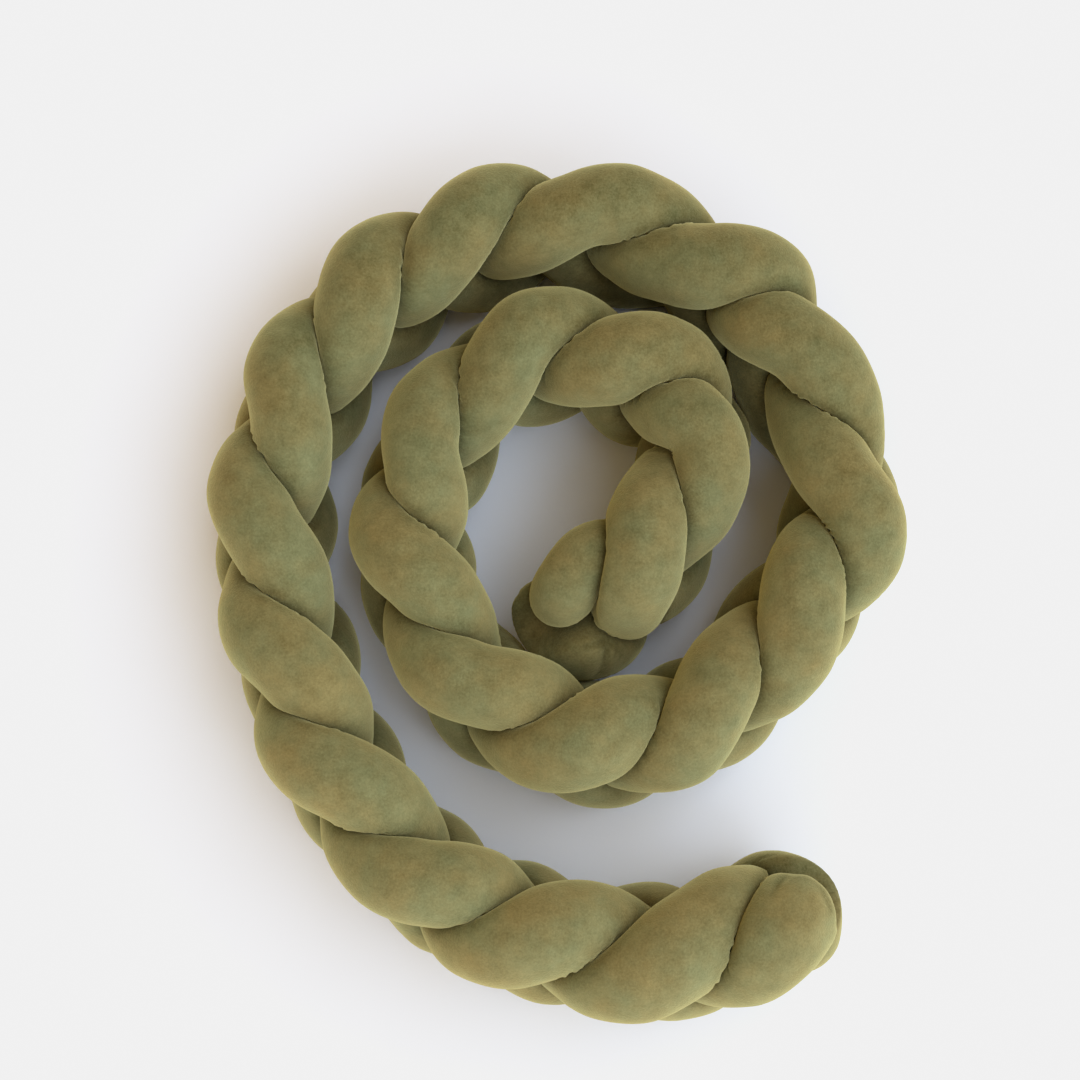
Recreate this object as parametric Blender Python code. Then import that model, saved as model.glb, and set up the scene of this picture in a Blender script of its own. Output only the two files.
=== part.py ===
"""Braided crib bumper: three stuffed velour tubes in one flat braid, set on edge and coiled into a spiral.

Each strand is one solid. Its centre line comes from the braid rule below, and each ring of the
solid is as round as its neighbours let it be, so the strands press on each other as soft tubes do.
Sizes are in millimetres and turned to metres when the meshes are made.
"""

import bmesh
import bpy
import numpy as np

MM = 0.001

# Braid
STRANDS = 3
MIDDLE_HEIGHT = 65.0  # height of the braid's middle above the floor
SWING = 42.0  # how far a strand's centre rises and falls about the middle
SWAY_TOP = 12.5  # how far it crosses from side to side near the top edge
SWAY_BASE = 14.5  # and near the base, where the weight spreads the braid
BASE_SPREAD = 0.04  # extra thickness of a strand at the base, as a share

# Strand
RADIUS = 27.2  # of a free strand
MOST_BULGE = 1.05  # a squeezed ring swells by this share at most
GAP = 3.6  # clear space between neighbouring strands
BEND_SHARE = 0.9  # a ring reaches this share of the way to the centre of its own bend
ROUNDING = 11.0  # a larger power gives a sharper turn from round side to flat contact
REACH = 110.0  # neighbours farther off than this are not looked at
OWN_BEND = (14.0, 60.0)  # lengths along the strand between which it looks at its own bend

# Facets
SIDES = 10
RING_SPACING = 17.0
END_RINGS = (2.0, 8.0, 17.0)  # distances from an end, for its rounded cap
FINE_STEP = 2.0
NEIGHBOUR_STEP = 4.0
EASING = 40  # passes that ease the centre line's corners

# Crests along the braid's upper edge, from the outer end to the inner end.
# Crest n belongs to strand n, n - 3, n - 6 and so on. Plump scales the strand's radius there.
CREST_COLUMNS = ("x", "y", "plump")
CRESTS = (
    (154, -211, 1.02),
    (74, -232, 1.11),
    (-13, -219, 1.03),
    (-79, -186, 0.98),
    (-139, -118, 1.00),
    (-171, -44, 0.98),
    (-191, 42, 0.94),
    (-177, 130, 0.94),
    (-130, 202, 0.98),
    (-65, 246, 0.95),
    (19, 262, 0.95),
    (117, 221, 1.00),
    (160, 172, 0.95),
    (198, 63, 0.95),
    (162, -7, 1.00),
    (100, -73, 0.96),
    (26, -93, 1.06),
    (-48, -59, 0.97),
    (-92, 18, 0.95),
    (-88, 92, 0.92),
    (-28, 166, 0.94),
    (52, 160, 1.02),
    (98, 113, 0.88),
    (57, 25, 1.02),
    (1, 2, 0.85),
)

# Where each strand follows the braid rule, in crests from the outer end.
RULE_COLUMNS = ("from", "to")
RULE_SPANS = (
    (0.375, 23.25),
    (0.75, 23.25),
    (0.5, 23.125),
)

# Tucked ends, in order along the strand. At the outer end strand 3 wraps round under the last
# loops of the other two. At the inner end strand 2 makes the cup that the others sit in.
END_COLUMNS = ("x", "y", "z", "plump")
OUTER_ENDS = (
    (
        (160, -199, 70, 1.00),
        (156, -204, 86, 1.05),
        (150, -209, 98, 1.08),
        (144, -216, 105, 1.10),
        (136, -223, 106, 1.08),
    ),
    (
        (149, -228, 30, 0.85),
        (143, -213, 42, 0.95),
        (134, -204, 60, 1.00),
        (122, -203, 77, 1.02),
        (109, -207, 91, 1.04),
    ),
    (
        (152, -234, 44, 0.85),
        (163, -221, 58, 0.90),
        (165, -204, 64, 0.96),
        (154, -193, 55, 1.00),
        (138, -197, 37, 1.00),
    ),
)
INNER_ENDS = (
    (
        (32, 31, 92, 0.88),
        (21, 21, 94, 0.83),
        (10, 10, 91, 0.80),
        (2, -2, 84, 0.80),
        (-2, -10, 72, 0.80),
    ),
    (
        (38, 2, 30, 1.00),
        (37, -16, 45, 1.00),
        (15, -25, 60, 1.00),
        (-2, -7, 63, 0.96),
        (-7, 17, 58, 0.90),
    ),
    (
        (53, 13, 103, 1.03),
        (49, 6, 95, 1.03),
        (47, 2, 80, 1.00),
        (46, 0, 62, 0.95),
        (44, -1, 46, 0.90),
    ),
)


def through(points, places):
    """A smooth curve through all the points, read at places counted in points."""
    points = np.asarray(points, float)
    last = len(points) - 1
    padded = np.vstack([2 * points[0] - points[1], points, 2 * points[-1] - points[-2]])
    start = np.clip(np.floor(places).astype(int), 0, last - 1)
    part = (places - start)[:, None]
    before, here, after, beyond = (padded[start + shift] for shift in range(4))
    slope = after - before
    bend = 2 * before - 5 * here + 4 * after - beyond
    twist = 3 * here - before - 3 * after + beyond
    return here + 0.5 * (slope * part + bend * part**2 + twist * part**3)


def spine(places):
    """Middle line of the braid seen from above, and its left-hand normal."""
    crests = np.array(CRESTS, float)[:, :2]
    last = len(crests) - 1
    inside = np.clip(places, 0, last)
    low = np.clip(inside - 0.001, 0, last)
    high = np.clip(inside + 0.001, 0, last)
    along = (through(crests, high) - through(crests, low)) / (high - low)[:, None]
    middle = through(crests, inside) + along * (places - inside)[:, None]
    along /= np.linalg.norm(along, axis=1, keepdims=True)
    return middle, np.stack([-along[:, 1], along[:, 0]], axis=1)


def at_spacing(line, step):
    """The line read at even distances."""
    steps = np.linalg.norm(np.diff(line[:, :3], axis=0), axis=1)
    run = np.concatenate([[0.0], np.cumsum(steps)])
    places = np.linspace(0.0, run[-1], max(2, int(round(run[-1] / step)) + 1))
    return at_distances(line, run, places)


def at_distances(line, run, places):
    return np.stack([np.interp(places, run, column) for column in line.T], axis=1)


def eased(line, passes):
    line = line.copy()
    for _ in range(passes):
        line[1:-1] = 0.25 * line[:-2] + 0.5 * line[1:-1] + 0.25 * line[2:]
    return line


def strand_line(number):
    """Centre line of one strand, as rows of x, y, z and plump."""
    first, last = RULE_SPANS[number]
    places = np.arange(first, last + 1e-6, 0.125)
    middle, side = spine(places)
    turn = np.pi / 2 + 2 * np.pi * (places - number) / STRANDS
    height = MIDDLE_HEIGHT + SWING * np.sin(turn)
    lowness = 0.5 * (1 - np.sin(turn))
    sway = -(SWAY_TOP + (SWAY_BASE - SWAY_TOP) * lowness) * np.sin(2 * turn)
    plump = np.interp(places, np.arange(len(CRESTS)), [row[2] for row in CRESTS])
    plump = plump * (1 + BASE_SPREAD * lowness)
    rule = np.column_stack([middle + sway[:, None] * side, height, plump])
    rows = [np.array(table[number], float).reshape(-1, 4) for table in (OUTER_ENDS, INNER_ENDS)]
    knots = np.vstack([rows[0], rule, rows[1]])
    curve = through(knots, np.arange(0, len(knots) - 1 + 1e-9, 0.1))
    return eased(at_spacing(curve, FINE_STEP), EASING)


def ring_places(length):
    """Distances of the rings along a strand, closer together in its end caps."""
    first = END_RINGS[-1]
    count = int(round((length - 2 * first) / RING_SPACING))
    body = np.linspace(first, length - first, count + 1)
    return np.concatenate([END_RINGS[:-1], body, length - np.array(END_RINGS[-2::-1])])


def softer_of(first, second):
    """The smaller of two radii, with the change from one to the other rounded off."""
    return (first**-ROUNDING + second**-ROUNDING) ** (-1 / ROUNDING)


def room(centre, rays, others, own):
    """How far each ray may go before it meets a neighbour or the centre of its own bend."""
    limits = [np.full(len(rays), 1000.0)]
    if len(others):
        offset = others - centre
        facing = np.maximum(rays @ offset.T + GAP, 1e-3)
        limits.append((((offset**2).sum(axis=1) - GAP**2) / (2 * facing)).min(axis=1))
    if len(own):
        offset = own - centre
        facing = np.maximum(rays @ offset.T, 1e-3)
        limits.append((BEND_SHARE * (offset**2).sum(axis=1) / (2 * facing)).min(axis=1))
    return np.maximum(np.min(limits, axis=0), 1.0)


def strand_rings(number, lines):
    """Rings of one strand, squeezed by its neighbours and flat where it rests on the floor."""
    line = lines[number]
    run = np.linspace(0, 1, len(line)) * np.linalg.norm(np.diff(line[:, :3], axis=0), axis=1).sum()
    places = ring_places(run[-1])
    table = at_distances(line, run, places)
    centres = table[:, :3]
    tangents = at_distances(np.gradient(line[:, :3], axis=0), run, places)
    tangents /= np.linalg.norm(tangents, axis=1, keepdims=True)
    level = np.cross(tangents, (0.0, 0.0, 1.0))
    level /= np.linalg.norm(level, axis=1, keepdims=True)
    upward = np.cross(level, tangents)
    angles = (np.arange(SIDES) + 0.5) * 2 * np.pi / SIDES
    rays = np.cos(angles)[:, None] * level[:, None] + np.sin(angles)[:, None] * upward[:, None]
    samples = [at_spacing(each, NEIGHBOUR_STEP)[:, :3] for each in lines]
    mine = samples[number]
    mine_run = np.linspace(0, run[-1], len(mine))
    space = np.empty((len(places), SIDES))
    for index, centre in enumerate(centres):
        apart = np.abs(mine_run - places[index])
        others = [each for other, each in enumerate(samples) if other != number]
        others = np.vstack(others + [mine[apart > REACH]])
        others = others[np.linalg.norm(others - centre, axis=1) < REACH]
        own = mine[(apart > OWN_BEND[0]) & (apart < OWN_BEND[1])]
        space[index] = room(centre, rays[index], others, own)
    floor = np.where(rays[:, :, 2] < -1e-6, centres[:, 2:] / np.maximum(-rays[:, :, 2], 1e-6), 1000.0)
    wanted = RADIUS * table[:, 3]
    free = wanted.copy()
    for _ in range(6):
        reach = np.minimum(softer_of(free[:, None], space), floor)
        free *= wanted / np.sqrt((reach**2).mean(axis=1))
        free = eased(np.clip(free, wanted, wanted * MOST_BULGE), 2)
    edge = np.minimum(places, run[-1] - places)
    cap = np.sqrt(1 - np.clip(1 - edge / RADIUS, 0, 1) ** 2)
    reach = np.minimum(softer_of((free * cap)[:, None], space), floor)
    rings = centres[:, None] + reach[:, :, None] * rays
    rings[:, :, 2] = np.maximum(rings[:, :, 2], 0.0)
    return rings, line[0, :3], line[-1, :3]


def strand_object(name, rings, start, end, collection, material):
    """A closed skin over the rings, with one point closing each end."""
    mesh = bmesh.new()
    rows = [[mesh.verts.new(point * MM) for point in ring] for ring in rings]
    for row, following in zip(rows, rows[1:]):
        for side in range(SIDES):
            after = (side + 1) % SIDES
            mesh.faces.new((row[side], row[after], following[after], following[side]))
    for row, tip in ((rows[0], start), (rows[-1], end)):
        point = mesh.verts.new(tip * MM)
        for side in range(SIDES):
            mesh.faces.new((row[side], row[(side + 1) % SIDES], point))
    bmesh.ops.recalc_face_normals(mesh, faces=mesh.faces)
    bmesh.ops.triangulate(mesh, faces=mesh.faces, quad_method="SHORT_EDGE")
    data = bpy.data.meshes.new(name)
    mesh.to_mesh(data)
    mesh.free()
    data.materials.append(material)
    made = bpy.data.objects.new(name, data)
    collection.objects.link(made)
    return made


def velour(name, colour):
    """Green plush velour: soft, rough and a little brighter at grazing angles."""
    material = bpy.data.materials.new(name)
    material.use_nodes = True
    shader = material.node_tree.nodes["Principled BSDF"]
    shader.inputs["Base Color"].default_value = (*colour, 1.0)
    shader.inputs["Roughness"].default_value = 0.9
    shader.inputs["Sheen Weight"].default_value = 0.5
    material.diffuse_color = (*colour, 1.0)
    return material


def clear_scene():
    for old in list(bpy.data.objects):
        bpy.data.objects.remove(old, do_unlink=True)


def main():
    clear_scene()
    collection = bpy.data.collections.new("braided_crib_bumper")
    bpy.context.scene.collection.children.link(collection)
    lines = [strand_line(number) for number in range(STRANDS)]
    skins = [strand_rings(number, lines) for number in range(STRANDS)]
    points = np.vstack([rings.reshape(-1, 3) for rings, _, _ in skins])
    centre = (points.min(axis=0) + points.max(axis=0)) / 2
    centre[2] = 0.0  # the origin is at the middle of the footprint, on the floor
    print("footprint centre", centre)
    for number, (rings, start, end) in enumerate(skins):
        name = f"strand_{number + 1}"
        material = velour(f"velour_{number + 1}", (0.19, 0.18, 0.07))
        strand_object(name, rings - centre, start - centre, end - centre, collection, material)


main()
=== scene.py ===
# %% [markdown]
# # A braided crib bumper in plush velour
# Three long stuffed tubes are plaited into one soft braid. The braid stands on its edge and lies
# in a flat coil of about two turns. This lesson builds the cloth, its finish, the light and the
# camera around a fixed frame that comes from the CAD model. Each strand of the frame has one
# plain solid, and the lesson puts a soft velour strand in its place. The braid's lengths are in
# millimetres until its meshes are made. The camera, the light and the floor are in metres.

import bpy
import numpy as np
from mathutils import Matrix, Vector, noise


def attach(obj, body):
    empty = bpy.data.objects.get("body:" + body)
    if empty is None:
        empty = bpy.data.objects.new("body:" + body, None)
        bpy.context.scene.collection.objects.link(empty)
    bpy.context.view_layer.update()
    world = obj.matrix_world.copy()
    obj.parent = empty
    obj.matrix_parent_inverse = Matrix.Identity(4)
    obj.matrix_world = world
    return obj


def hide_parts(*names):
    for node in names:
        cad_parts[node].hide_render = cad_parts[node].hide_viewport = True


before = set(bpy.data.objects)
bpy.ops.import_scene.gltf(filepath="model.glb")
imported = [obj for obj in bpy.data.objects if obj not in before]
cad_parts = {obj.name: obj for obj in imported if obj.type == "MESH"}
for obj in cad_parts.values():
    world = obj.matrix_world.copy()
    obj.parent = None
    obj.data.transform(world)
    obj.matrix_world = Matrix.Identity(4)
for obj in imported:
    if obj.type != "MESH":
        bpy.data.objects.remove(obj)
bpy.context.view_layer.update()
scene = bpy.context.scene
scene.view_settings.view_transform = "Standard"
MM = 0.001
print("frame nodes", sorted(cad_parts))

# %% [markdown]
# Colours are written as the sRGB hex values that a paint chart would give, and Blender's shaders
# work in linear light, so one function turns the first into the second.


# %% Colour and node helpers
def linear(hex_colour):
    values = [int(hex_colour[i : i + 2], 16) / 255 for i in (1, 3, 5)]
    return tuple(v / 12.92 if v <= 0.04045 else ((v + 0.055) / 1.055) ** 2.4 for v in values)


def add_node(tree, kind, links=None, **settings):
    """Adds a node, sets what is named on it, and links or fills its inputs."""
    node = tree.nodes.new(kind)
    for name, value in settings.items():
        setattr(node, name, value)
    for socket, value in (links or {}).items():
        if isinstance(value, bpy.types.NodeSocket):
            tree.links.new(value, node.inputs[socket])
        else:
            node.inputs[socket].default_value = value
    return node


# %% [markdown]
# The camera looks almost straight down, as someone leaning over a table would see the coil. It
# could look exactly straight down, but a few degrees of tilt show the near sides of the braid. A
# longish lens keeps the sides from leaning outwards too much.

# %% Camera
VIEW_POINT = Vector((-0.0125, 0.0222, 0.110))
CAMERA_TILT = np.radians(8.5)
CAMERA_DISTANCE = 1.355
CAMERA_LENS = 69.06
SENSOR_WIDTH = 36

camera_data = bpy.data.cameras.new("camera")
camera_data.lens = CAMERA_LENS
camera_data.sensor_width = SENSOR_WIDTH
camera = bpy.data.objects.new("camera", camera_data)
scene.collection.objects.link(camera)
back_and_up = Vector((0, -np.sin(CAMERA_TILT), np.cos(CAMERA_TILT)))
camera.location = VIEW_POINT + CAMERA_DISTANCE * back_and_up
camera.rotation_euler = (CAMERA_TILT, 0, 0)
scene.camera = camera
print("camera at", [round(v, 3) for v in camera.location])

# %% [markdown]
# The light is soft studio daylight. A cool window stands high on the right and a weaker one at the
# front, and the room round them is warm. So the shadow on the left, which the windows hardly reach,
# comes out a little warm. Area lamps would do, but they are brighter close by. Suns with a very
# wide angle act as big soft boxes whose strength is the same all over the floor.


# %% Light
def soft_sun(name, azimuth, elevation, spread, strength, colour):
    """A wide sun. The azimuth is where it shines from, in degrees round from +X."""
    data = bpy.data.lights.new(name, "SUN")
    data.energy = strength
    data.angle = np.radians(spread)
    data.color = linear(colour)
    lamp = bpy.data.objects.new(name, data)
    scene.collection.objects.link(lamp)
    a, e = np.radians(azimuth), np.radians(elevation)
    towards = Vector((np.cos(a) * np.cos(e), np.sin(a) * np.cos(e), np.sin(e)))
    lamp.rotation_euler = towards.to_track_quat("Z", "Y").to_euler()
    return lamp


soft_sun("right_window", azimuth=12, elevation=48, spread=70, strength=2.7, colour="#C4DCFF")
soft_sun("front_window", azimuth=290, elevation=36, spread=60, strength=2.15, colour="#C4DCFF")

world = bpy.data.worlds.new("studio_surround")
world.use_nodes = True
surround = world.node_tree.nodes["Background"]
surround.inputs["Color"].default_value = (*linear("#FFE1B0"), 1)
surround.inputs["Strength"].default_value = 0.68
scene.world = world

# %% [markdown]
# The floor is so bright that it would burn out to pure white, so a curve rolls the highlights
# off, as film does. A dimmer light would also do that, but then the shadow round the coil would
# reach much further. Up to a level of 0.6 the curve changes nothing.

# %% Highlight roll-off
ROLL_OFF = ((0.0, 0.0), (0.3, 0.3), (0.6, 0.6), (0.75, 0.735), (0.9, 0.835), (1.0, 0.875))
scene.view_settings.use_curve_mapping = True
mapping = scene.view_settings.curve_mapping
mapping.extend = "HORIZONTAL"
combined = mapping.curves[3]
combined.points[0].location = ROLL_OFF[0]
combined.points[-1].location = ROLL_OFF[-1]
for level, shown in ROLL_OFF[1:-1]:
    combined.points.new(level, shown)
mapping.update()
print("roll-off points", len(combined.points))

# %% [markdown]
# The floor is a plain sheet of matt white paper, far larger than the coil. One square is enough.
# It lies half a millimetre low, so that the flat undersides of the strands never share its plane.

# %% Floor
FLOOR_SIZE = 40.0
FLOOR_DROP = 0.0005

paper = bpy.data.materials.new("matt_paper")
paper.use_nodes = True
paper_shader = paper.node_tree.nodes["Principled BSDF"]
paper_shader.inputs["Base Color"].default_value = (*linear("#F4F4F3"), 1)
paper_shader.inputs["Roughness"].default_value = 0.95
paper_shader.inputs["Specular IOR Level"].default_value = 0.1

half = FLOOR_SIZE / 2
floor_mesh = bpy.data.meshes.new("floor")
corners = [(-half, -half, 0), (half, -half, 0), (half, half, 0), (-half, half, 0)]
floor_mesh.from_pydata(corners, [], [(0, 1, 2, 3)])
floor_mesh.materials.append(paper)
floor = bpy.data.objects.new("floor", floor_mesh)
scene.collection.objects.link(floor)
floor.location.z = -FLOOR_DROP
print("floor", FLOOR_SIZE, "m square")

# %% [markdown]
# ## The braid rule
# Seen along the braid, each strand runs in a wave. It rises to the braid's upper edge, crosses
# over to the other side, dives to the lower edge, and the next strand follows a third of a wave
# later. Each curve could be drawn by hand, but one rule for all three keeps them an even third
# apart. The table lists the tops of those waves, one row each, from the coil's outer end to its
# inner end. The rows take turns: the first belongs to strand 1, the second to strand 2, the third
# to strand 3, the fourth to strand 1 again, and so on.

# %% Sizes of the braid, in millimetres
STRANDS = 3
MIDDLE_HEIGHT = 65.0
SWING = 42.0
SWAY_TOP = 12.5
SWAY_BASE = 14.5
BASE_SPREAD = 0.04
RADIUS = 27.2
COIL_CENTRE = (3.46, 13.83)

CREST_COLUMNS = ("x", "y", "plump")
CRESTS = (
    (154, -211, 1.02),
    (74, -232, 1.11),
    (-13, -219, 1.03),
    (-79, -186, 0.98),
    (-139, -118, 1.00),
    (-171, -44, 0.98),
    (-191, 42, 0.94),
    (-177, 130, 0.94),
    (-130, 202, 0.98),
    (-65, 246, 0.95),
    (19, 262, 0.95),
    (117, 221, 1.00),
    (160, 172, 0.95),
    (198, 63, 0.95),
    (162, -7, 1.00),
    (100, -73, 0.96),
    (26, -93, 1.06),
    (-48, -59, 0.97),
    (-92, 18, 0.95),
    (-88, 92, 0.92),
    (-28, 166, 0.94),
    (52, 160, 1.02),
    (98, 113, 0.88),
    (57, 25, 1.02),
    (1, 2, 0.85),
)

# Where each strand follows the rule, counted in crests, and where its tucked ends lie.
RULE_SPANS = (
    (0.375, 23.25),
    (0.75, 23.25),
    (0.5, 23.125),
)
END_COLUMNS = ("x", "y", "z", "plump")
OUTER_ENDS = (
    (
        (160, -199, 70, 1.00),
        (156, -204, 86, 1.05),
        (150, -209, 98, 1.08),
        (144, -216, 105, 1.10),
        (136, -223, 106, 1.08),
    ),
    (
        (149, -228, 30, 0.85),
        (143, -213, 42, 0.95),
        (134, -204, 60, 1.00),
        (122, -203, 77, 1.02),
        (109, -207, 91, 1.04),
    ),
    (
        (152, -234, 44, 0.85),
        (163, -221, 58, 0.90),
        (165, -204, 64, 0.96),
        (154, -193, 55, 1.00),
        (138, -197, 37, 1.00),
    ),
)
INNER_ENDS = (
    (
        (32, 31, 92, 0.88),
        (21, 21, 94, 0.83),
        (10, 10, 91, 0.80),
        (2, -2, 84, 0.80),
        (-2, -10, 72, 0.80),
    ),
    (
        (38, 2, 30, 1.00),
        (37, -16, 45, 1.00),
        (15, -25, 60, 1.00),
        (-2, -7, 63, 0.96),
        (-7, 17, 58, 0.90),
    ),
    (
        (53, 13, 103, 1.03),
        (49, 6, 95, 1.03),
        (47, 2, 80, 1.00),
        (46, 0, 62, 0.95),
        (44, -1, 46, 0.90),
    ),
)
print(len(CRESTS), "crests, and end rows of", END_COLUMNS)

# %% [markdown]
# ## Centre lines
# A smooth curve through the crests gives the braid's middle seen from above. The rule then lifts
# and sways each strand about it, and the tucked ends are joined on before the curve is eased.
# Blender's own curves could hold these lines, but the next steps need plain rows of numbers.


# %% Curve tools
def through(points, places):
    """A smooth curve through all the points, read at places counted in points."""
    points = np.asarray(points, float)
    last = len(points) - 1
    padded = np.vstack([2 * points[0] - points[1], points, 2 * points[-1] - points[-2]])
    start = np.clip(np.floor(places).astype(int), 0, last - 1)
    part = (places - start)[:, None]
    before, here, after, beyond = (padded[start + shift] for shift in range(4))
    slope = after - before
    bend = 2 * before - 5 * here + 4 * after - beyond
    twist = 3 * here - before - 3 * after + beyond
    return here + 0.5 * (slope * part + bend * part**2 + twist * part**3)


def run_of(line):
    """Distance along a line at each of its points."""
    return np.concatenate([[0.0], np.cumsum(np.linalg.norm(np.diff(line[:, :3], axis=0), axis=1))])


def at_spacing(line, step):
    """The line read at even distances."""
    run = run_of(line)
    places = np.linspace(0.0, run[-1], max(2, int(round(run[-1] / step)) + 1))
    return np.stack([np.interp(places, run, column) for column in line.T], axis=1)


def eased(values, passes):
    """Each row drawn towards the mean of its neighbours, the two end rows kept."""
    values = values.copy()
    for _ in range(passes):
        values[1:-1] = 0.25 * values[:-2] + 0.5 * values[1:-1] + 0.25 * values[2:]
    return values


# %% Braid rule
SLOPE_STEP = 0.001
RULE_STEP = 0.125
CURVE_STEP = 0.1
LINE_SPACING = 2.0
EASING_PASSES = 40


def spine(places):
    """Middle line of the braid seen from above, and its left-hand normal."""
    crests = np.array(CRESTS, float)[:, :2]
    last = len(crests) - 1
    inside = np.clip(places, 0, last)
    low = np.clip(inside - SLOPE_STEP, 0, last)
    high = np.clip(inside + SLOPE_STEP, 0, last)
    along = (through(crests, high) - through(crests, low)) / (high - low)[:, None]
    middle = through(crests, inside) + along * (places - inside)[:, None]
    along /= np.linalg.norm(along, axis=1, keepdims=True)
    return middle, np.stack([-along[:, 1], along[:, 0]], axis=1)


def strand_line(number):
    """Centre line of one strand, as rows of x, y, z and plump."""
    first, last = RULE_SPANS[number]
    places = np.arange(first, last + 1e-6, RULE_STEP)
    middle, side = spine(places)
    turn = np.pi / 2 + 2 * np.pi * (places - number) / STRANDS
    height = MIDDLE_HEIGHT + SWING * np.sin(turn)
    lowness = 0.5 * (1 - np.sin(turn))
    sway = -(SWAY_TOP + (SWAY_BASE - SWAY_TOP) * lowness) * np.sin(2 * turn)
    plump_column = CREST_COLUMNS.index("plump")
    plump = np.interp(places, np.arange(len(CRESTS)), [row[plump_column] for row in CRESTS])
    plump = plump * (1 + BASE_SPREAD * lowness)
    rule = np.column_stack([middle + sway[:, None] * side, height, plump])
    outer, inner = OUTER_ENDS[number], INNER_ENDS[number]
    knots = np.vstack([outer, rule, inner])
    curve = through(knots, np.arange(0, len(knots) - 1 + 1e-9, CURVE_STEP))
    line = eased(at_spacing(curve, LINE_SPACING), EASING_PASSES)
    line[:, :2] -= COIL_CENTRE
    return line


lines = [strand_line(number) for number in range(STRANDS)]
print("strand lengths in mm", [round(run_of(line)[-1]) for line in lines])

# %% [markdown]
# ## Soft tubes that press on each other
# A stuffed tube is round where it is free and flat where it meets its neighbour. Rays go out from
# each point of the centre line. Each stops at the tube's own radius, or half way to the nearest
# neighbouring centre line, or at the floor, whichever comes first. The corner between round and
# flat is rounded off, because plush cloth never makes a sharp edge. A cloth simulation could
# swell the tubes against each other instead. This way gives a similar soft contact in seconds, but
# not an exact one. With the lumps and puckers added later, the skins cross by up to 1.3 mm at a
# few points, and by about 2 mm at one spot near the inner end.

# %% Sizes of the skin, in millimetres
SIDES = 80
RING_SPACING = 2.25
NEIGHBOUR_STEP = 2.0
GAP = 0.5
ROUNDING = 14.0
MOST_BULGE = 1.06
BEND_SHARE = 0.9
REACH = 110.0
OWN_BEND = (14.0, 60.0)
FAR = 1000.0
SETTLING_ROUNDS = 6
TIP_SHARE = 0.02


def softer_of(first, second):
    """The smaller of two radii, with the change from one to the other rounded off."""
    return (first**-ROUNDING + second**-ROUNDING) ** (-1 / ROUNDING)


def room(centre, rays, others, own):
    """How far each ray may go before it meets a neighbour or the centre of its own bend."""
    limits = [np.full(len(rays), FAR)]
    if len(others):
        offset = others - centre
        facing = np.maximum(rays @ offset.T + GAP, 1e-3)
        limits.append((((offset**2).sum(axis=1) - GAP**2) / (2 * facing)).min(axis=1))
    if len(own):
        offset = own - centre
        facing = np.maximum(rays @ offset.T, 1e-3)
        limits.append((BEND_SHARE * (offset**2).sum(axis=1) / (2 * facing)).min(axis=1))
    return np.maximum(np.min(limits, axis=0), 1.0)


def ring_frames(line):
    """Centres, the rays of each ring, and distances along a strand."""
    table = at_spacing(line, RING_SPACING)
    tangents = np.gradient(table[:, :3], axis=0)
    tangents /= np.linalg.norm(tangents, axis=1, keepdims=True)
    level = np.cross(tangents, (0.0, 0.0, 1.0))
    level /= np.linalg.norm(level, axis=1, keepdims=True)
    upward = np.cross(level, tangents)
    angles = np.arange(SIDES) * 2 * np.pi / SIDES - np.pi / 2
    rays = np.cos(angles)[:, None] * level[:, None] + np.sin(angles)[:, None] * upward[:, None]
    return table, rays, run_of(table)


def space_round(number, table, rays, run):
    """The room that every ray of one strand has."""
    samples = [at_spacing(line, NEIGHBOUR_STEP)[:, :3] for line in lines]
    mine = samples[number]
    mine_run = np.linspace(0, run[-1], len(mine))
    space = np.empty(rays.shape[:2])
    for index, centre in enumerate(table[:, :3]):
        apart = np.abs(mine_run - run[index])
        others = [each for other, each in enumerate(samples) if other != number]
        others = np.vstack(others + [mine[apart > REACH]])
        others = others[np.linalg.norm(others - centre, axis=1) < REACH]
        own = mine[(apart > OWN_BEND[0]) & (apart < OWN_BEND[1])]
        space[index] = room(centre, rays[index], others, own)
    return eased(space, 2)


# %% Squeeze each tube into its room
def squeezed_rings(number):
    """Reach of every ray of one strand, with its centres, rays and the room that it had. A ring
    that loses width on one side swells a little on the others, as stuffing does."""
    table, rays, run = ring_frames(lines[number])
    space = space_round(number, table, rays, run)
    down = np.maximum(-rays[:, :, 2], 1e-6)
    floor_reach = np.where(rays[:, :, 2] < -1e-6, table[:, 2:3] / down, FAR)
    wanted = RADIUS * table[:, 3]
    free = wanted.copy()
    for _ in range(SETTLING_ROUNDS):
        reach = np.minimum(softer_of(free[:, None], space), floor_reach)
        free *= wanted / np.sqrt((reach**2).mean(axis=1))
        free = eased(np.clip(free, wanted, wanted * MOST_BULGE)[:, None], 8)[:, 0]
    edge = np.minimum(run, run[-1] - run)
    cap = np.maximum(np.sqrt(1 - np.clip(1 - edge / RADIUS, 0, 1) ** 2), TIP_SHARE)
    reach = np.minimum(softer_of((free * cap)[:, None], space), floor_reach)
    return table, rays, run, space, reach


shapes = [squeezed_rings(number) for number in range(STRANDS)]
print("rings", [len(shape[0]) for shape in shapes], "of", SIDES, "sides")

# %% [markdown]
# ## Stuffing lumps, puckers and gathers
# Loose fibre never fills a tube evenly, so the skin has broad, shallow lumps. Where a strand is
# pinched by its neighbour, the cloth has nowhere to go and puckers in short ridges across the
# strand. These could be sculpted by hand or left to a bump map, but a bump map never shows in the
# outline. Here they are small moves of the skin along its own rays. A smooth noise that is read
# at each point decides where they are strong, so no two places look alike.

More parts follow.
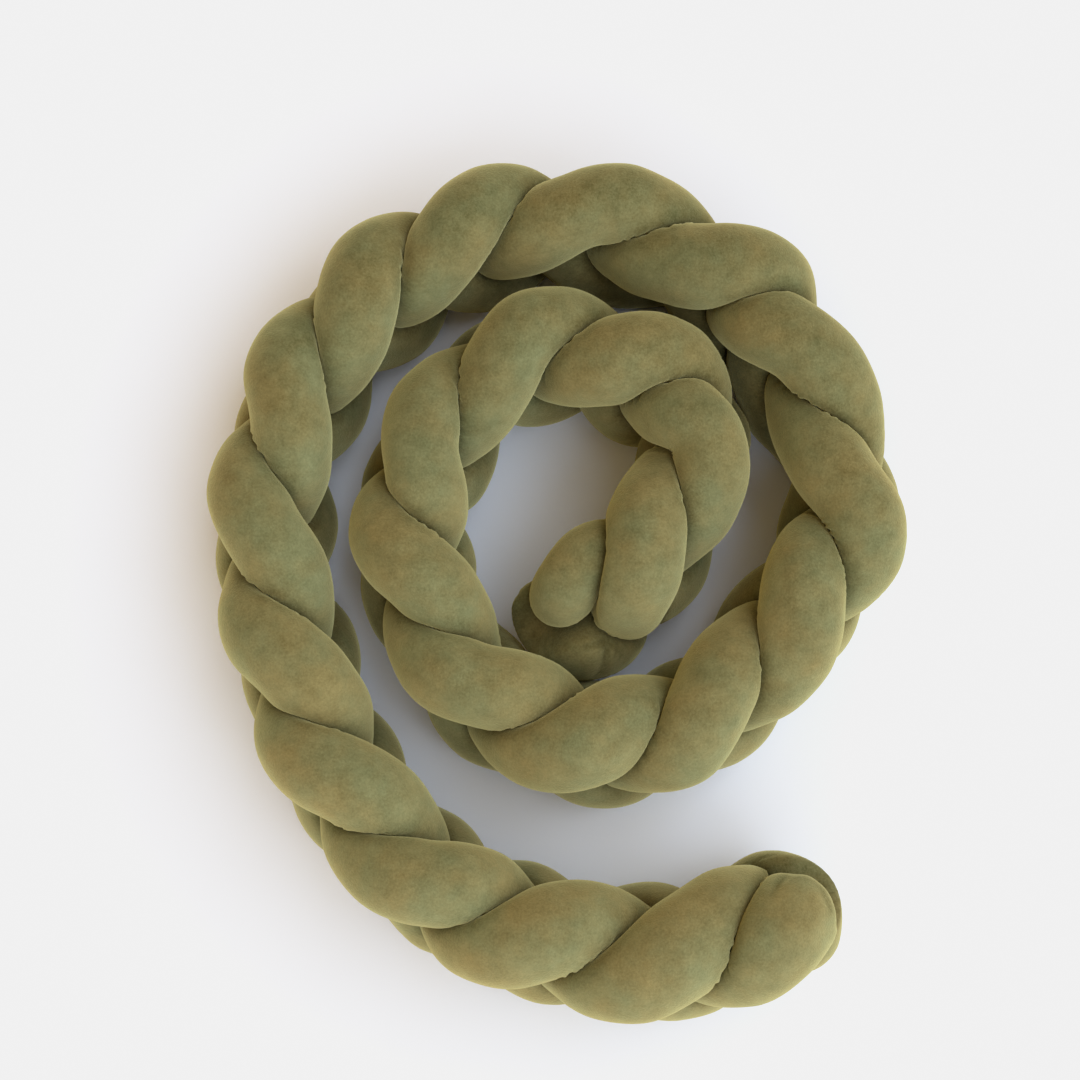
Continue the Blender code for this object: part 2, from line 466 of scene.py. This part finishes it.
# %% Sizes of the lumps and puckers, in millimetres
LUMP_SIZE = 34.0
LUMP_HEIGHT = 1.1
PUCKER_LENGTH = 7.5
PUCKER_HEIGHT = 1.1
PUCKER_PATCH = 26.0
RIPPLE_LENGTH = 9.0
RIPPLE_HEIGHT = 0.10
RIPPLE_PATCH = 45.0
WANDER_SIZE = 18.0
WANDER = 0.45
FLOOR_EASE = (2.0, 12.0)
NOISE_SWING = 1.6

# How hard the skin presses is the free radius over the room that the ray has. A skin is pressed
# in the first range, and puckers show between the rise and the fall.
PRESSED = (0.75, 1.15)
PUCKER_RISE = (0.72, 0.95)
PUCKER_FALL = (1.05, 1.3)


# %% Noise and ramps
def noise_at(points, size, shift):
    """Smooth noise of about -1 to 1 whose bumps are about as wide as size."""
    flat = points.reshape(-1, 3) / size + shift
    values = np.array([noise.noise(Vector(place)) for place in flat])
    return values.reshape(points.shape[:-1]) * NOISE_SWING


def ramp(values, low, high):
    """0 below low, 1 above high and a soft change between them."""
    part = np.clip((values - low) / (high - low), 0, 1)
    return part * part * (3 - 2 * part)


# %% Lumps, puckers and ripples
def lumps_and_puckers(number, table, rays, run, space, reach):
    """The reach of the rays with lumps, and with puckers beside each line of contact. The shifts
    only move each pattern to its own part of the noise."""
    points = table[:, None, :3] + reach[:, :, None] * rays
    press = RADIUS * table[:, 3:4] / space
    loose = 1 - ramp(press, *PRESSED)
    beside = ramp(press, *PUCKER_RISE) * (1 - ramp(press, *PUCKER_FALL))
    lumps = LUMP_HEIGHT * noise_at(points, LUMP_SIZE, 3.7 + number) * loose
    patch = ramp(noise_at(points, PUCKER_PATCH, 9.1 + number), 0.0, 0.6)
    wander = WANDER * noise_at(points, WANDER_SIZE, 21.3 + number)
    wave = np.sin(2 * np.pi * (run[:, None] / PUCKER_LENGTH + wander))
    puckers = PUCKER_HEIGHT * beside * patch * wave
    ripple_patch = ramp(noise_at(points, RIPPLE_PATCH, 31.9 + number), 0.15, 0.7)
    ripple_wave = np.sin(2 * np.pi * (run[:, None] / RIPPLE_LENGTH + 1.5 * wander))
    ripples = RIPPLE_HEIGHT * ripple_wave * ripple_patch * loose
    above_floor = ramp(points[:, :, 2], *FLOOR_EASE)
    return reach + (lumps + puckers + ripples) * above_floor


# %% [markdown]
# ## Creases at the two ends
# At the outer end the third strand is gathered where it comes out from under the second, and a
# narrow band of folded cloth runs round the first. At the inner end the second strand is folded
# into a cup with a rolled rim, and its cloth is pinched into creases beside it. They could be
# modelled as folded sheets, but at this size they read as shallow grooves. So each crease is
# pressed into the skin along a line of points, with a width and a depth.

# %% Table of creases, in millimetres
CREASE_COLUMNS = ("name", "strand", "depth", "width", "points")
CREASES = (
    (
        "fold band, outer line", 1, 1.6, 1.9,
        (
            (141, -188, 88), (147, -181, 88), (155, -178, 88), (164, -178, 88),
            (171, -182, 88), (178, -190, 88), (182, -201, 88), (183, -213, 88),
        ),
    ),
    (
        "fold band, inner line", 1, 1.3, 1.8,
        (
            (138, -191, 96), (144, -184, 96), (152, -182, 96), (160, -182, 96),
            (168, -186, 96), (173, -194, 96), (176, -203, 96),
        ),
    ),
    ("gather 1", 3, 1.5, 1.5, ((139, -187, 72), (134, -180, 72), (130, -173, 72))),
    ("gather 2", 3, 1.5, 1.5, ((139, -186, 74), (136, -179, 74), (134, -171, 74))),
    ("gather 3", 3, 1.5, 1.5, ((140, -186, 76), (139, -178, 76), (139, -170, 76))),
    ("gather 4", 3, 1.5, 1.5, ((141, -185, 78), (143, -178, 78), (144, -169, 78))),
    ("gather 5", 3, 1.4, 1.5, ((142, -185, 78), (147, -177, 78), (150, -170, 78))),
    (
        "rim of the cup", 2, 2.0, 1.8,
        (
            (-24, 5, 84), (-24, -6, 84), (-20, -16, 84), (-12, -24, 84),
            (-2, -28, 84), (8, -28, 84), (17, -24, 84),
        ),
    ),
    (
        "fold beside the cup", 2, 3.0, 1.8,
        ((34, -27, 70), (36, -34, 70), (35, -40, 70), (32, -48, 70)),
    ),
    ("pinch 1", 2, 1.8, 1.8, ((33, -28, 82), (27, -23, 82), (20, -20, 82))),
    ("pinch 2", 2, 1.6, 1.8, ((33, -30, 82), (25, -31, 82), (17, -33, 82))),
    ("pinch 3", 2, 1.6, 1.8, ((35, -28, 68), (42, -32, 68), (47, -38, 68))),
)
HEIGHT_SHARE = 0.03
NEARBY = 60.0
PATH_STEPS = 12
UPWARD = (-0.1, 0.2)


# %% Press the creases in
def creased(number, table, rays, reach):
    """The reach with each crease of this strand pressed in, and how deep in a crease each point
    is, from 0 to 1. Height counts little beside the distance seen from above, so a crease follows
    the skin wherever it lies."""
    reach = reach.copy()
    groove = np.zeros_like(reach)
    weight = np.array([1.0, 1.0, HEIGHT_SHARE])
    for row in CREASES:
        crease = dict(zip(CREASE_COLUMNS, row))
        if crease["strand"] != number + 1:
            continue
        knots = np.array(crease["points"], float)
        knots[:, :2] -= COIL_CENTRE
        path = through(knots, np.linspace(0, len(knots) - 1, PATH_STEPS * len(knots))) * weight
        points = (table[:, None, :3] + reach[:, :, None] * rays) * weight
        near = np.linalg.norm(points - path.mean(axis=0), axis=2) < NEARBY
        gap = np.linalg.norm(points[near][:, None] - path[None], axis=2).min(axis=1)
        share = np.exp(-((gap / crease["width"]) ** 2)) * ramp(rays[near][:, 2], *UPWARD)
        reach[near] -= crease["depth"] * share
        groove[near] = np.maximum(groove[near], share)
        print(crease["name"], int((gap < crease["width"]).sum()), "points pressed in")
    return reach, groove


# %% [markdown]
# ## Painted light and shade on the skin
# The tone that is worked out here is painted light and shade, not a colour of the cloth. The side
# of each strand that faces the front of the coil is painted pale and the side that faces the back
# dark, as a light from the front would leave them. Where the skin turns away at the sides it is
# painted pale and on top darker, as a painted sheen. The tone is also darker beside a contact, low
# down, inside a crease and slowly towards the back of the coil. That part is painted shade: a soft
# even light leaves it out, so it is painted in. The tone is worked out once for each point of the
# skin and kept as an attribute, which the material reads.

# %% Shares of the painted light and shade
MIDDLE_TONE = 0.6
FRONT_LIGHT_SHARE = 0.30
SIDE_SHEEN_SHARE = 0.40
CONTACT_SHARE = 0.58
CONTACT_PRESS = (0.5, 1.0)
LOW_SHARE = 0.20
LOW_HEIGHTS = (40.0, 105.0)
BACK_SHARE = 0.24
HALF_DEPTH = 230.0
CREASE_SHARE = 0.9


def painted_light_and_shade(table, rays, space, reach, groove):
    """The painted light and shade at each point, from 0 where it is darkest to 1."""
    press = RADIUS * table[:, 3:4] / space
    height = table[:, 2:3] + reach * rays[:, :, 2]
    # Painted light from the front: the side that faces the front is paler, the back side darker.
    tone = MIDDLE_TONE - FRONT_LIGHT_SHARE * rays[:, :, 1]
    # Painted sheen: the sides are paler and the top and bottom darker.
    tone = tone + SIDE_SHEEN_SHARE * (0.5 - rays[:, :, 2] ** 2)
    # Painted shade beside contacts, low down, towards the back of the coil and in creases.
    tone = tone - CONTACT_SHARE * ramp(press, *CONTACT_PRESS)
    tone = tone - LOW_SHARE * (1 - ramp(height, *LOW_HEIGHTS))
    tone = tone - BACK_SHARE * table[:, 1:2] / HALF_DEPTH - CREASE_SHARE * groove
    return np.clip(tone, 0, 1)


detailed = []
for number, (table, rays, run, space, reach) in enumerate(shapes):
    reach = lumps_and_puckers(number, table, rays, run, space, reach)
    reach, groove = creased(number, table, rays, reach)
    tone = painted_light_and_shade(table, rays, space, reach, groove)
    detailed.append((table, rays, run, reach, tone))
print("mean tone", [round(float(each[-1].mean()), 2) for each in detailed])

# %% [markdown]
# ## Meshes
# The rings become one closed skin for each strand. Its UV map is in metres of cloth, along the
# strand and round it, as if the cloth lay flat before it was sewn into a tube.


# %% Mesh of one strand
def tube_mesh(name, points, run, tone):
    """A closed skin over the rings: quads along the strand and a fan at each end. It carries
    metres of cloth as its UV map, and the painted light and shade of each point."""
    count = len(points)
    ends = [points[0].mean(axis=0), points[-1].mean(axis=0)]
    vertices = np.vstack([points.reshape(-1, 3), ends]) * MM
    ring = np.arange(count - 1)[:, None] * SIDES
    side = np.arange(SIDES)
    after = (side + 1) % SIDES
    quads = np.stack([ring + side, ring + SIDES + side, ring + SIDES + after, ring + after], axis=2)
    faces = [tuple(map(int, quad)) for quad in quads.reshape(-1, 4)]
    first, last = count * SIDES, count * SIDES + 1
    tail = (count - 1) * SIDES
    faces += [(int(side[k]), int(after[k]), first) for k in range(SIDES)]
    faces += [(int(tail + after[k]), int(tail + side[k]), last) for k in range(SIDES)]
    mesh = bpy.data.meshes.new(name)
    mesh.from_pydata(vertices.tolist(), [], faces)
    mesh.update()
    corner_vertex = np.empty(len(mesh.loops), int)
    mesh.loops.foreach_get("vertex_index", corner_vertex)
    along = np.append(np.repeat(run, SIDES), [run[0], run[-1]]) * MM
    round_way = np.append(np.tile(side / SIDES, count), [0.5, 0.5])
    u = along[corner_vertex]
    v = round_way[corner_vertex]
    # A quad that closes the ring runs from the last side to 1, not back to 0.
    corners_of_quads = (count - 1) * SIDES * 4
    wrap = v[:corners_of_quads].reshape(-1, 4)
    wrap[(wrap.max(axis=1) > 0.9)[:, None] & (wrap < 0.1)] += 1.0
    v[:corners_of_quads] = wrap.reshape(-1)
    around = 2 * np.pi * RADIUS * MM
    layer = mesh.uv_layers.new(name="cloth")
    layer.data.foreach_set("uv", np.stack([u, v * around], axis=1).reshape(-1))
    # This attribute holds the painted light and shade of each point, not a colour of the cloth.
    pile = mesh.attributes.new("painted_light_and_shade", "FLOAT", "POINT")
    pile.data.foreach_set("value", np.append(tone.reshape(-1), [tone[0].mean(), tone[-1].mean()]))
    mesh.polygons.foreach_set("use_smooth", np.ones(len(mesh.polygons), bool))
    mesh.update()
    return mesh


# %% The three strands
strands = []
for number, (table, rays, run, reach, tone) in enumerate(detailed):
    points = table[:, None, :3] + reach[:, :, None] * rays
    points[:, :, 2] = np.maximum(points[:, :, 2], 0.0)
    mesh = tube_mesh(f"velour_strand_{number + 1}", points, run, tone)
    strand = bpy.data.objects.new(mesh.name, mesh)
    scene.collection.objects.link(strand)
    strands.append(strand)
    print(strand.name, len(mesh.polygons), "faces")

# %% [markdown]
# ## Velour
# The cloth is polyester velour: a knitted ground with a short cut pile that is brushed up. The eye
# sees a soft olive green with no gloss, a pale yellowish bloom where the pile is seen edge on,
# and cloudy patches where the pile lies different ways. Millions of hairs could be grown on it,
# but they would be finer than the picture can show. So sheen gives the bloom, helped by painted
# sheen in the tone, and noise gives the nap. Pile like this is roughly 0.3 mm across, so its grain
# is drawn about five times as coarse. The tone also carries painted light and painted shade.

# %% Patterns of the cloth
PATTERN_COLUMNS = ("name", "bumps in a metre", "detail", "roughness", "from", "to")
PATTERNS = (
    ("patches", 22, 3, 0.6, 0.35, 0.65),
    ("nap", 70, 5, 0.7, 0.3, 0.7),
    ("grain", 620, 3, 0.7, 0.3, 0.7),
)
PILE_BUMPS = 900
PILE_DEPTH = 0.0008
# Share of the painted light and shade in the tone; the rest is nap and grain.
PAINTED_LIGHT_SHARE = 0.45
DARK_WARM, PALE_WARM = (*linear("#463B12"), 1), (*linear("#998B58"), 1)
DARK_COOL, PALE_COOL = (*linear("#3D3D19"), 1), (*linear("#8D8C5F"), 1)
for row in PATTERNS:
    print(row[0], "about", round(1000 / row[PATTERN_COLUMNS.index("bumps in a metre")], 1), "mm")

# Sockets of a Mix node that mixes colours: it has others of the same names for plain numbers.
MIX_A, MIX_B, MIX_RESULT = 6, 7, 2


# %% Velour material
def velour():
    """Pile that is dark or pale by its nap, its grain and the painted light and shade, between
    two greens that drift in patches.
    """
    material = bpy.data.materials.new("polyester_velour_with_painted_shading")
    material.use_nodes = True
    tree = material.node_tree
    where = add_node(tree, "ShaderNodeTexCoord").outputs["Object"]
    made = {}
    for name, scale, detail, roughness, low, high in PATTERNS:
        links = {"Vector": where, "Scale": scale, "Detail": detail, "Roughness": roughness}
        bumps = add_node(tree, "ShaderNodeTexNoise", links).outputs["Fac"]
        links = {"Value": bumps, "From Min": low, "From Max": high}
        made[name] = add_node(tree, "ShaderNodeMapRange", links).outputs["Result"]

    links = {"Factor": 0.5, "A": made["nap"], "B": made["grain"]}
    fuzz = add_node(tree, "ShaderNodeMix", links).outputs["Result"]
    # The attribute is painted light and shade: light from the front, sheen at the sides, and shade.
    painted_light_tone = add_node(tree, "ShaderNodeAttribute", attribute_name="painted_light_and_shade").outputs["Fac"]
    links = {"Factor": PAINTED_LIGHT_SHARE, "A": fuzz, "B": painted_light_tone}
    tone = add_node(tree, "ShaderNodeMix", links).outputs["Result"]

    links = {0: tone, MIX_A: DARK_WARM, MIX_B: PALE_WARM}
    warm = add_node(tree, "ShaderNodeMix", links, data_type="RGBA").outputs[MIX_RESULT]
    links = {0: tone, MIX_A: DARK_COOL, MIX_B: PALE_COOL}
    cool = add_node(tree, "ShaderNodeMix", links, data_type="RGBA").outputs[MIX_RESULT]
    links = {0: made["patches"], MIX_A: warm, MIX_B: cool}
    colour = add_node(tree, "ShaderNodeMix", links, data_type="RGBA").outputs[MIX_RESULT]

    links = {"Vector": where, "Scale": PILE_BUMPS, "Detail": 2, "Roughness": 0.5}
    pile = add_node(tree, "ShaderNodeTexNoise", links).outputs["Fac"]
    links = {"Height": pile, "Strength": 0.5, "Distance": PILE_DEPTH}
    bump = add_node(tree, "ShaderNodeBump", links).outputs["Normal"]

    shader = tree.nodes["Principled BSDF"]
    tree.links.new(colour, shader.inputs["Base Color"])
    tree.links.new(bump, shader.inputs["Normal"])
    shader.inputs["Roughness"].default_value = 0.95
    shader.inputs["Specular IOR Level"].default_value = 0.15
    shader.inputs["Sheen Weight"].default_value = 0.9
    shader.inputs["Sheen Roughness"].default_value = 0.45
    shader.inputs["Sheen Tint"].default_value = (*linear("#E6DC96"), 1)
    return material


# %% Dress the strands
cloth = velour()
for number, strand in enumerate(strands, start=1):
    strand.data.materials.append(cloth)
    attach(strand, "root")
    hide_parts(f"strand_{number}")
print(cloth.name, "on", len(strands), "strands")
